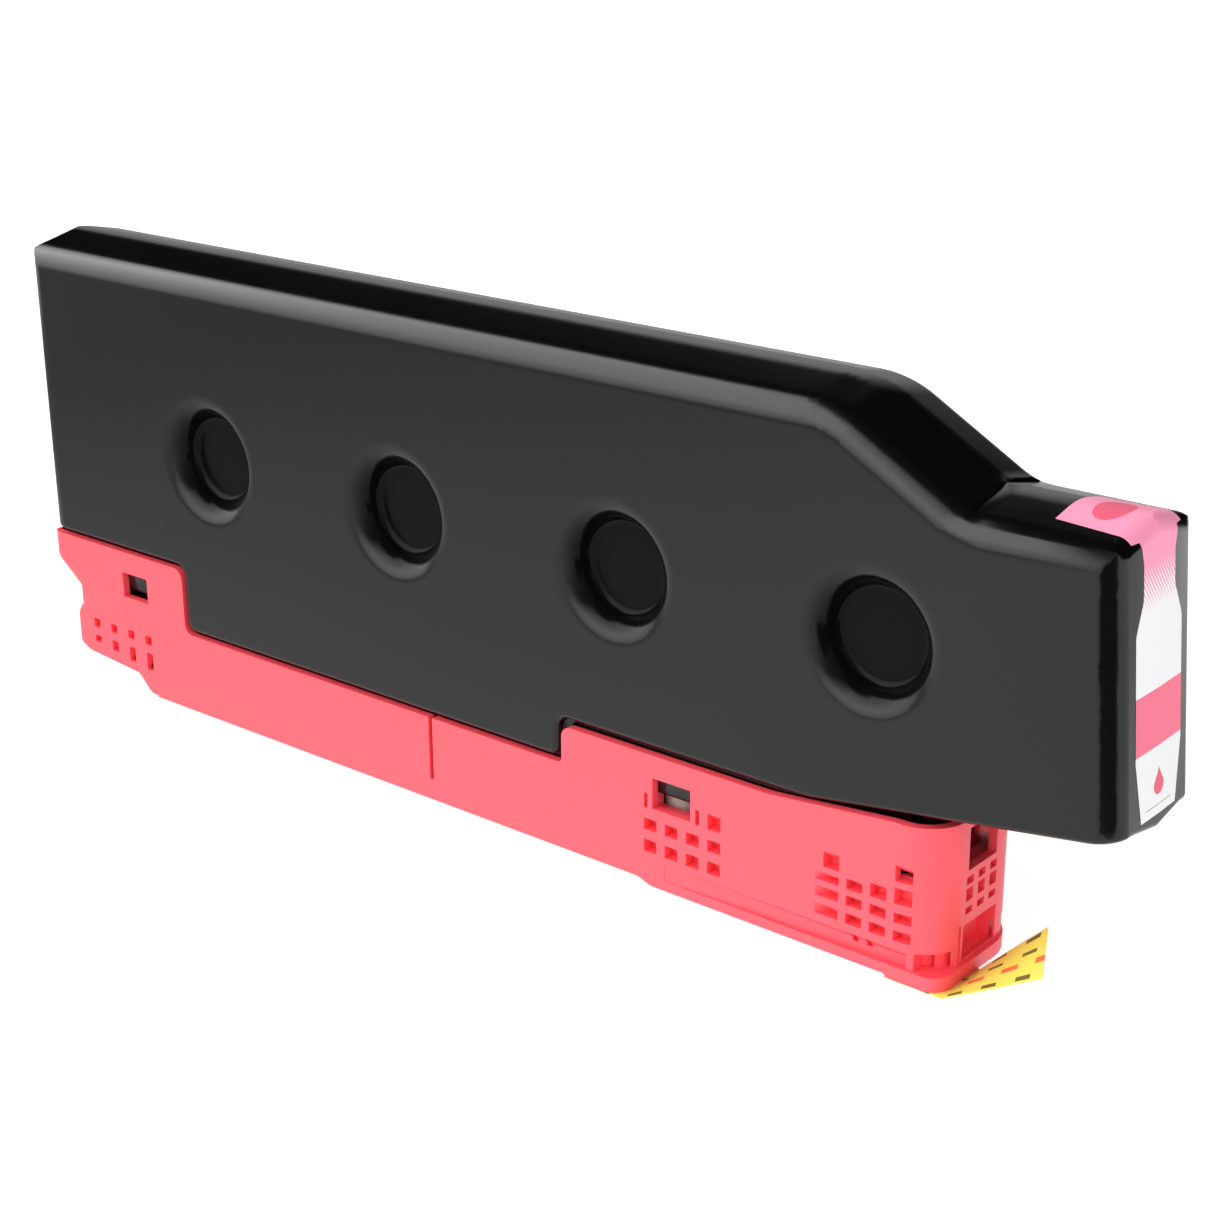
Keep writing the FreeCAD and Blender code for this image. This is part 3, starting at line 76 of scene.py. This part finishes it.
# Camera: it looks along the tank's label end and near side, from a little above
CAMERA_PLACE = (0.3404, -0.3807, 0.2436)
AZIMUTH = math.radians(39.6)
ELEVATION = math.radians(20.55)
ROLL = math.radians(0.28)
FOCAL_PIXELS = 2230
FRAME_PIXELS = 1222
SENSOR_WIDTH = 36.0             # millimetres, as Blender counts them
CLIP = (0.01, 100.0)

# Dimples in the tank's sides: the first one's middle, the step to the next and how many there are
DIMPLE_X = -96.5 * MM
DIMPLE_PITCH = 68.4 * MM
DIMPLE_Z = 76.0 * MM
DIMPLES = 4
DIMPLE_SHADE_START = 17.0 * MM        # from its middle: the painted shade in a dimple starts here,
DIMPLE_SHADE_FULL = 12.0 * MM         # and is full within this

# Blow-moulded tank
SHEEN_AND_DIMPLE_SHADE = (0.5, 0.1)              # specular level on the flat sides, and lowered in the dimples as painted shade
GLOSS = (0.15, 0.21)            # roughness, which varies from patch to patch
PATCHES = 30.0                  # noise scales, per metre
PEEL = 700.0
DIE_LINES = (5.0, 600.0, 600.0)
LINES_SHARE = 0.4               # how high the lines are, with the orange peel at 1
PARTING_HEIGHT = 3.0
PARTING_HALF = 0.3 * MM         # half the parting line's thickness
TANK_BUMP = 0.25 * MM

# Moulded tray
GRAIN = 1500.0
TRAY_BUMP = 0.1 * MM

BUMP_STRENGTH = 0.05
EDGE_ANGLE = 38.0               # degrees: edges sharper than this stay sharp
MERGE = 0.002 * MM              # CAD points closer than this become one
SLIVER = 0.001 * MM             # and edges shorter than this go
TRAY_EDGE = 0.25 * MM           # how far the tray's edges are softened
EVEN_TO = 135.0 * MM            # behind the tank's front corners, whose gloss needs plain smooth shading

# Print on the label, as heights above the table
HATCH_END = 92.2 * MM           # where the hatching runs out into white
HATCH_START = 101.6 * MM
HATCH_PITCH = 1.5 * MM
HATCH_SLANT = 1.4               # slope of the hatching's lines across the label
BAND = (63.2 * MM, 75.4 * MM)
DROP_BOTTOM = 52.8 * MM
DROP_HEIGHT = 6.0 * MM
DROP_WIDTH = 4.2 * MM
DROP_OUTLINE = ((0.1, 0.72), (0.32, 1.0), (0.55, 0.72), (0.8, 0.25))  # shares of its height and half width
RULE_Z = DROP_BOTTOM - 2.2 * MM
RULE_HALF = (5.4 * MM, 0.12 * MM)       # half its length and half its thickness

# Print on the label's top, along X and across
OVAL_LENGTH = 7.4 * MM
OVAL_WIDTH = 12.4 * MM
OVAL_FROM_BACK = 8.0 * MM       # its centre from the label's rear edge
FOLD_BACK = 4.2 * MM            # dashed line across the label, from its front
FOLD_DEPTH = 2.5 * MM           # it goes down the label's shoulders as far as this
FOLD_HALF = 0.25 * MM           # half its thickness
FOLD_DASH = (0.8 * MM, 0.3 * MM)        # half a step, and the half gap in it

# Print on the pull tape, along and across its tab
TAPE_TURN = math.radians(20.0)
TAPE_ROOT = (TAPE_HIGH.x - 19.9 * MM, TAPE_LOW.y + 8.0 * MM, 0.0)
DASH_PITCH = 7.0 * MM
DASH_LENGTH = 3.0 * MM
DASH_GAP = 0.3 * MM             # between a dark dash and a red one, along the tape
TAPE_HALF = 8.0 * MM
TAPE_BORDER = 1.5 * MM
INNER_ROW = 1.8 * MM            # the two rows of marks lie this far from its middle line
DARK_HALF = 0.6 * MM            # half the thickness of a dark mark
RED_HALF = 0.9 * MM

# Light table, seen by gloss to fade towards the cartridge's rear end
TABLE_SIZE = 14.0
TABLE_Z = -0.05 * MM
TABLE_GLOW = 0.85
TABLE_FADE = (-0.45, 0.0)       # the fade's ends along X
TABLE_DIM = 0.1                 # the glow at the far end of it

# Fill lights: name, place and power, turned towards the cartridge
FILL_LIGHTS = (("front fill", (1.4, -0.7, 0.8), 12.5), ("rear fill", (-0.4, 1.6, 0.7), 9.0))
FILL_SIZE = (1.6, 1.2)

# Black flag that darkens the gloss of the tank's near front corner
FLAG_SIZE = 0.12
FLAG_PLACE = (0.2445, -0.0815, 0.06)
FLAG_TURN = math.radians(50)

# Surround: brightnesses, with the light table's at about 1
FRONT = 1.0                     # low in front
SOFT_BOX = 3.7
RIGHT_SKY = 0.3
OVERHEAD = 0.02
WALL = (0.3, 0.75)              # behind, at the horizon and higher up

# Surround: where each change starts and ends, in the direction's parts along X, Y and Z
BEHIND_Y = (0.0, 0.14)
BOX_Z = (-0.1, 0.4)
SKY_Z = (0.1, 0.5)
RIGHT_X = (-0.1, 0.3)
OVERHEAD_Z = (0.82, 0.9)
WALL_Z = (0.0, 0.35)
WALL_X = (-0.4, -0.15)
WALL_TILT = -0.9                # its upper edge leans, as Z plus this times X
WALL_EDGE = (0.9, 1.02)


def hex_colour(code):
    """Linear colour from an sRGB hex value."""
    channels = [int(code[i:i + 2], 16) / 255 for i in (1, 3, 5)]
    return (*[c / 12.92 if c <= 0.04045 else ((c + 0.055) / 1.055) ** 2.4 for c in channels], 1.0)


def add(tree, kind, settings, output=0):
    """Adds a node and returns one output. A setting is a property, an input's value or an output to link."""
    node = tree.nodes.new(kind)
    for name, value in settings.items():
        if isinstance(value, bpy.types.NodeSocket):
            tree.links.new(value, node.inputs[name])
        elif isinstance(name, str) and hasattr(node, name):
            setattr(node, name, value)
        else:
            node.inputs[name].default_value = value
    return node.outputs[output]


def calc(tree, operation, *values):
    """A Math node's result from numbers and other nodes' outputs."""
    return add(tree, "ShaderNodeMath", {"operation": operation, **dict(enumerate(values))})


def ramp(tree, value, start, end, low=0.0, high=1.0, **settings):
    """A value taken from start and end to low and high, and held beyond them unless clamp is off."""
    return add(tree, "ShaderNodeMapRange", {**settings, "Value": value, "From Min": start, "From Max": end,
                                            "To Min": low, "To Max": high})


def mix_colour(tree, share, first, second):
    return add(tree, "ShaderNodeMix", {"data_type": "RGBA", 0: share, 6: first, 7: second}, 2)


def noise(tree, vector, scale, detail=2.0):
    return add(tree, "ShaderNodeTexNoise", {"Scale": scale, "Detail": detail, "Vector": vector})


def new_material(name, colour, roughness, **settings):
    """Material with one Principled shader, and its node tree and shader for patterns to be added."""
    material = bpy.data.materials.new(name)
    material.use_nodes = True
    material.diffuse_color = hex_colour(colour)
    tree = material.node_tree
    shader = tree.nodes["Principled BSDF"]
    shader.inputs["Base Color"].default_value = hex_colour(colour)
    shader.inputs["Roughness"].default_value = roughness
    for socket, value in settings.items():
        shader.inputs[socket.replace("_", " ")].default_value = value
    return material, tree, shader


def object_place(tree):
    return add(tree, "ShaderNodeTexCoord", {}, "Object")


def axes(tree, vector):
    """X, Y and Z of a vector."""
    return [add(tree, "ShaderNodeSeparateXYZ", {0: vector}, axis) for axis in "XYZ"]


def roughen(tree, shader, height, distance):
    """Links a faint bump, whose heights are given, to a shader."""
    bump = add(tree, "ShaderNodeBump", {"Strength": BUMP_STRENGTH, "Distance": distance, "Height": height})
    tree.links.new(bump, shader.inputs["Normal"])


def blown_polyethylene():
    """HDPE from a blow mould: black and softly glossy, with shade painted into the dimples as a lower sheen,
    with faint lines along it, a little orange peel and a parting line."""
    material, tree, shader = new_material("Blow-moulded black HDPE", "#080809", 0.18, IOR=1.44)
    place = object_place(tree)
    x, y, z = axes(tree, place)

    # Painted shade: the sheen falls towards each dimple's middle, which darkens the dimples as shade would
    from_dimple = calc(tree, "ADD", x, DIMPLE_PITCH / 2 - DIMPLE_X)
    from_dimple = calc(tree, "FLOORED_MODULO", from_dimple, DIMPLE_PITCH)
    flat = add(tree, "ShaderNodeCombineXYZ", {"X": from_dimple, "Y": z})
    away = add(tree, "ShaderNodeVectorMath", {"operation": "DISTANCE", 0: flat,
                                              1: (DIMPLE_PITCH / 2, DIMPLE_Z, 0.0)}, 1)
    dimple_shade = ramp(tree, away, DIMPLE_SHADE_START, DIMPLE_SHADE_FULL, interpolation_type="SMOOTHSTEP")
    middle = DIMPLE_X + (DIMPLES - 1) / 2 * DIMPLE_PITCH
    along = calc(tree, "COMPARE", x, middle, DIMPLES / 2 * DIMPLE_PITCH)
    dimple_shade = calc(tree, "MULTIPLY", dimple_shade, along)
    sheen = ramp(tree, dimple_shade, 0.0, 1.0, *SHEEN_AND_DIMPLE_SHADE)
    tree.links.new(sheen, shader.inputs["Specular IOR Level"])

    stretched = add(tree, "ShaderNodeMapping", {"Scale": DIE_LINES, "Vector": place})
    lines = noise(tree, stretched, 1.0)
    peel = noise(tree, place, PEEL)
    both = calc(tree, "MULTIPLY_ADD", lines, LINES_SHARE, peel)
    from_middle = calc(tree, "ABSOLUTE", y)
    parting = ramp(tree, from_middle, 0.0, PARTING_HALF, PARTING_HEIGHT, 0.0)
    roughen(tree, shader, calc(tree, "ADD", both, parting), TANK_BUMP)

    gloss = ramp(tree, noise(tree, place, PATCHES, 4.0), 0.0, 1.0, *GLOSS)
    tree.links.new(gloss, shader.inputs["Roughness"])
    return material


def moulded_abs():
    """ABS from a fine-eroded mould: pinkish red, a little translucent, with a soft sheen and a fine grain."""
    material, tree, shader = new_material("Moulded ABS", "#F54B58", 0.42, IOR=1.6, Subsurface_Weight=0.2,
                                          Subsurface_Radius=(1.0, 0.12, 0.12), Subsurface_Scale=2.0 * MM)
    roughen(tree, shader, noise(tree, object_place(tree), GRAIN), TRAY_BUMP)
    return material


def label_hatching(tree, y, z):
    """Share of colour in slanting lines that get thinner downwards and run out into white."""
    slant = calc(tree, "MULTIPLY_ADD", y, HATCH_SLANT, z)
    wave = calc(tree, "PINGPONG", slant, HATCH_PITCH / 2)
    share = calc(tree, "DIVIDE", wave, HATCH_PITCH / 2)
    return calc(tree, "LESS_THAN", share, ramp(tree, z, HATCH_END, HATCH_START))


def label_fold(tree, x, y, z):
    """Dashed line across the label's top, near its front."""
    at_fold = calc(tree, "COMPARE", x, LABEL_HIGH.x - FOLD_BACK, FOLD_HALF)
    on_top = calc(tree, "GREATER_THAN", z, LABEL_HIGH.z - FOLD_DEPTH)
    step, gap = FOLD_DASH
    dash = calc(tree, "GREATER_THAN", calc(tree, "PINGPONG", y, step), gap)
    return calc(tree, "MULTIPLY", calc(tree, "MULTIPLY", at_fold, on_top), dash)


def label_drop(tree, from_middle, z):
    """Plain ink drop on the label's front, pointed at its top."""
    up = ramp(tree, z, DROP_BOTTOM, DROP_BOTTOM + DROP_HEIGHT)
    curve = tree.nodes.new("ShaderNodeFloatCurve")
    points = curve.mapping.curves[0].points
    points[0].location = (0.0, 0.0)
    points[1].location = (1.0, 0.0)
    for where in DROP_OUTLINE:
        points.new(*where)
    curve.mapping.update()
    tree.links.new(up, curve.inputs["Value"])
    half_width = calc(tree, "MULTIPLY", curve.outputs[0], DROP_WIDTH / 2)
    return calc(tree, "LESS_THAN", from_middle, half_width)


def label_oval(tree, x, y):
    """Plain oval on the label's top."""
    centre = LABEL_LOW.x + OVAL_FROM_BACK
    along = ramp(tree, x, centre, centre + OVAL_LENGTH / 2, clamp=False)
    across = calc(tree, "DIVIDE", y, OVAL_WIDTH / 2)
    distance = calc(tree, "MULTIPLY_ADD", across, across, calc(tree, "MULTIPLY", along, along))
    return calc(tree, "LESS_THAN", distance, 1.0)


def label_film():
    """Printed polypropylene film with a satin varnish: pink, fading by hatching to white, with a colour band,
    a plain oval, a plain drop, a dashed line where it folds and a grey rule near its foot."""
    pink, band, white = hex_colour("#F898B8"), hex_colour("#F5708C"), hex_colour("#EFEEF0")
    light, deep, grey = hex_colour("#FFE3EC"), hex_colour("#E85C78"), hex_colour("#A5A5A8")
    material, tree, shader = new_material("Printed label film", "#EFEEF0", 0.5, IOR=1.4)
    x, y, z = axes(tree, object_place(tree))
    from_middle = calc(tree, "ABSOLUTE", y)

    low, high = BAND
    in_band = calc(tree, "COMPARE", z, (low + high) / 2, (high - low) / 2)
    marks = calc(tree, "MAXIMUM", label_oval(tree, x, y), label_drop(tree, from_middle, z))
    half_length, half_thickness = RULE_HALF
    rule = calc(tree, "COMPARE", z, RULE_Z, half_thickness)
    rule = calc(tree, "MULTIPLY", rule, calc(tree, "LESS_THAN", from_middle, half_length))

    colour = mix_colour(tree, label_hatching(tree, y, z), white, pink)
    colour = mix_colour(tree, label_fold(tree, x, y, z), colour, light)
    colour = mix_colour(tree, in_band, colour, band)
    colour = mix_colour(tree, marks, colour, deep)
    colour = mix_colour(tree, rule, colour, grey)
    tree.links.new(colour, shader.inputs["Base Color"])
    return material


def tape_film():
    """Glossy yellow polyester tape, printed with dark dashes along its borders and plain marks between."""
    yellow, ink, red = hex_colour("#EDE765"), hex_colour("#6B6A38"), hex_colour("#EE7A4A")
    material, tree, shader = new_material("Printed polyester tape", "#EDE765", 0.22, IOR=1.55)
    turned = add(tree, "ShaderNodeMapping", {"vector_type": "TEXTURE", "Location": TAPE_ROOT,
                                             "Rotation": (0.0, 0.0, TAPE_TURN), "Vector": object_place(tree)})
    along, across = axes(tree, turned)[:2]

    step = calc(tree, "PINGPONG", along, DASH_PITCH / 2)
    dash = calc(tree, "LESS_THAN", step, DASH_LENGTH / 2)
    between = calc(tree, "GREATER_THAN", step, DASH_LENGTH / 2 + DASH_GAP)
    from_middle = calc(tree, "ABSOLUTE", across)
    edge = calc(tree, "COMPARE", from_middle, TAPE_HALF - TAPE_BORDER, TAPE_BORDER / 2)
    far_row = calc(tree, "COMPARE", across, INNER_ROW, DARK_HALF)
    near_row = calc(tree, "COMPARE", across, -INNER_ROW, RED_HALF)
    dark = calc(tree, "MAXIMUM", calc(tree, "MULTIPLY", far_row, dash), calc(tree, "MULTIPLY", edge, dash))

    colour = mix_colour(tree, dark, yellow, ink)
    colour = mix_colour(tree, calc(tree, "MULTIPLY", near_row, between), colour, red)
    tree.links.new(colour, shader.inputs["Base Color"])
    return material


def plain_finishes():
    """Materials of the small pieces, each one colour, by slot."""
    finishes = (
        ("natural", "Natural polypropylene", "#DDD4C8", 0.35, {"IOR": 1.49}),
        ("port", "Turned black acetal", "#1A1A1C", 0.3, {"IOR": 1.48}),
        ("rubber", "Moulded nitrile rubber", "#161616", 0.65, {"IOR": 1.52}),
        ("spring", "Drawn stainless wire", "#B9B9B6", 0.25, {"Metallic": 1.0}),
        ("filter", "Sintered steel mesh", "#8F8E88", 0.5, {"Metallic": 1.0}),
        ("board", "Solder resist on glass-fibre laminate", "#1D5A36", 0.35, {"IOR": 1.5}),
        ("gold", "Gold-flashed copper", "#E0B35A", 0.22, {"Metallic": 1.0}),
        ("potting", "Cast black epoxy", "#101011", 0.12, {"IOR": 1.55}),
        ("membrane", "Expanded PTFE membrane", "#E9E9E6", 0.7, {"IOR": 1.35}),
    )
    return {slot: new_material(name, colour, roughness, **more)[0]
            for slot, name, colour, roughness, more in finishes}


def shown_copy(node, name, soften=0.0, even=None, even_to=None):
    """Merged copy of a CAD node's loose triangles, smooth between its real edges, which takes the node's
    place. Its edges can be softened, and its shading evened out over large faces, up to one X if given."""
    source = frame["nodes"][node]
    mesh = source.data.copy()
    mesh.name = name
    work = bmesh.new()
    work.from_mesh(mesh)
    bmesh.ops.remove_doubles(work, verts=work.verts, dist=MERGE)
    bmesh.ops.dissolve_degenerate(work, edges=work.edges, dist=SLIVER)
    work.to_mesh(mesh)
    work.free()
    mesh.materials.clear()
    mesh.shade_smooth()
    mesh.set_sharp_from_angle(angle=math.radians(EDGE_ANGLE))
    piece = bpy.data.objects.new(name, mesh)
    bpy.context.scene.collection.objects.link(piece)
    if soften:
        bevel = piece.modifiers.new("soft edges", "BEVEL")
        bevel.width = soften
        bevel.segments = 2
        bevel.limit_method = "ANGLE"
        bevel.angle_limit = math.radians(EDGE_ANGLE)
    if even:
        shading = piece.modifiers.new("even shading", "WEIGHTED_NORMAL")
        shading.mode = even
        shading.keep_sharp = True
        if even_to is not None:
            group = piece.vertex_groups.new(name="even part")
            group.add([vertex.index for vertex in mesh.vertices if vertex.co.x < even_to], 1.0, "REPLACE")
            shading.vertex_group = group.name
    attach(piece, source["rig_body"])
    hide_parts(node)
    return piece


def dress(piece, material):
    piece.data.materials.clear()
    piece.data.materials.append(material)


def build_camera():
    """Camera to the front and right of the cartridge, looking down a little, as the photograph was taken."""
    camera = bpy.data.objects.new("camera", bpy.data.cameras.new("camera"))
    bpy.context.scene.collection.objects.link(camera)
    flat = math.cos(ELEVATION)
    forward = Vector((-math.sin(AZIMUTH) * flat, math.cos(AZIMUTH) * flat, -math.sin(ELEVATION)))
    level = Vector((math.cos(AZIMUTH), math.sin(AZIMUTH), 0.0))
    below = forward.cross(level)
    right = level * math.cos(ROLL) + below * math.sin(ROLL)
    down = below * math.cos(ROLL) - level * math.sin(ROLL)
    turn = Matrix((right, -down, -forward)).transposed()
    camera.matrix_world = Matrix.LocRotScale(Vector(CAMERA_PLACE), turn, None)
    camera.data.sensor_width = SENSOR_WIDTH
    camera.data.lens = SENSOR_WIDTH * FOCAL_PIXELS / FRAME_PIXELS
    camera.data.clip_start, camera.data.clip_end = CLIP
    bpy.context.scene.camera = camera
    bpy.context.scene.view_settings.view_transform = "Standard"


def build_table():
    """Light table of opal acrylic, clear from below, so that the cartridge's underside can be seen."""
    bpy.ops.mesh.primitive_plane_add(size=TABLE_SIZE, location=(0, 0, TABLE_Z))
    table = bpy.context.object
    table.name = "light_table"
    acrylic, tree, shader = new_material("Backlit opal acrylic", "#9A9A9A", 0.9,
                                         Emission_Color=(1.0, 1.0, 1.0, 1.0))
    x = axes(tree, object_place(tree))[0]
    mirrored = ramp(tree, x, *TABLE_FADE, TABLE_DIM, TABLE_GLOW)
    in_gloss = add(tree, "ShaderNodeLightPath", {}, "Is Glossy Ray")
    glow = add(tree, "ShaderNodeMix", {0: in_gloss, 2: TABLE_GLOW, 3: mirrored})
    tree.links.new(glow, shader.inputs["Emission Strength"])
    below = add(tree, "ShaderNodeNewGeometry", {}, "Backfacing")
    clear = add(tree, "ShaderNodeBsdfTransparent", {})
    seen = add(tree, "ShaderNodeMixShader", {0: below, 1: shader.outputs[0], 2: clear})
    tree.links.new(seen, tree.nodes["Material Output"].inputs["Surface"])
    table.data.materials.append(acrylic)


def build_lights():
    """Two fill lights that gloss doesn't show, and the black flag, which only gloss shows."""
    for name, place, power in FILL_LIGHTS:
        data = bpy.data.lights.new(name, "AREA")
        data.shape = "RECTANGLE"
        data.size, data.size_y = FILL_SIZE
        data.energy = power
        lamp = bpy.data.objects.new(name, data)
        lamp.location = place
        lamp.rotation_mode = "QUATERNION"
        lamp.rotation_quaternion = (-lamp.location).to_track_quat("-Z", "Y")
        lamp.visible_glossy = False
        bpy.context.scene.collection.objects.link(lamp)

    bpy.ops.mesh.primitive_plane_add(size=FLAG_SIZE, location=FLAG_PLACE)
    flag = bpy.context.object
    flag.name = "flag"
    flag.rotation_euler = (math.pi / 2, 0.0, FLAG_TURN)
    flag.data.materials.append(new_material("Black flag cloth", "#303030", 1.0, IOR=1.3)[0])
    flag.visible_camera = False
    flag.visible_diffuse = False
    flag.visible_shadow = False


def build_surround():
    """World whose brightness goes by direction: in front the soft box, darker to the right and black
    overhead; behind a grey wall, on the left only and with a leaning upper edge."""
    world = bpy.data.worlds.new("studio")
    world.use_nodes = True
    bpy.context.scene.world = world
    tree = world.node_tree
    x, y, z = axes(tree, add(tree, "ShaderNodeTexCoord", {}, "Generated"))

    wall = ramp(tree, z, *WALL_Z, *WALL)
    below_edge = ramp(tree, calc(tree, "MULTIPLY_ADD", x, WALL_TILT, z), *WALL_EDGE, 1.0, 0.0)
    left = ramp(tree, x, *WALL_X, 1.0, 0.0)
    behind = calc(tree, "MULTIPLY", calc(tree, "MULTIPLY", wall, below_edge), left)

    box = ramp(tree, z, *BOX_Z, FRONT, SOFT_BOX)
    sky = ramp(tree, z, *SKY_Z, FRONT, RIGHT_SKY)
    front = add(tree, "ShaderNodeMix", {0: ramp(tree, x, *RIGHT_X), 2: box, 3: sky})
    front = add(tree, "ShaderNodeMix", {0: ramp(tree, z, *OVERHEAD_Z), 2: front, 3: OVERHEAD})

    strength = add(tree, "ShaderNodeMix", {0: ramp(tree, y, *BEHIND_Y), 2: front, 3: behind})
    tree.links.new(strength, tree.nodes["Background"].inputs["Strength"])
    tree.nodes["Background"].inputs["Color"].default_value = (1, 1, 1, 1)


def main():
    small = plain_finishes()
    tank = shown_copy("ink_tank", "tank", even="FACE_AREA_WITH_ANGLE", even_to=EVEN_TO)
    dress(tank, blown_polyethylene())
    dress(shown_copy("carrier_tray", "tray", soften=TRAY_EDGE, even="FACE_AREA"), moulded_abs())
    dress(shown_copy("end_label", "label", even="FACE_AREA"), label_film())
    dress(shown_copy("pull_tape", "tape"), tape_film())
    slots = {entry["node"]: entry["material_slot"] for entry in frame["record"]["subparts"]}
    for node, piece in frame["nodes"].items():
        if slots[node] in small:
            dress(piece, small[slots[node]])
    spring = shown_copy("valve_spring", "spring")
    dress(spring, small["spring"])
    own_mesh(spring)
    build_camera()
    build_table()
    build_lights()
    build_surround()


main()
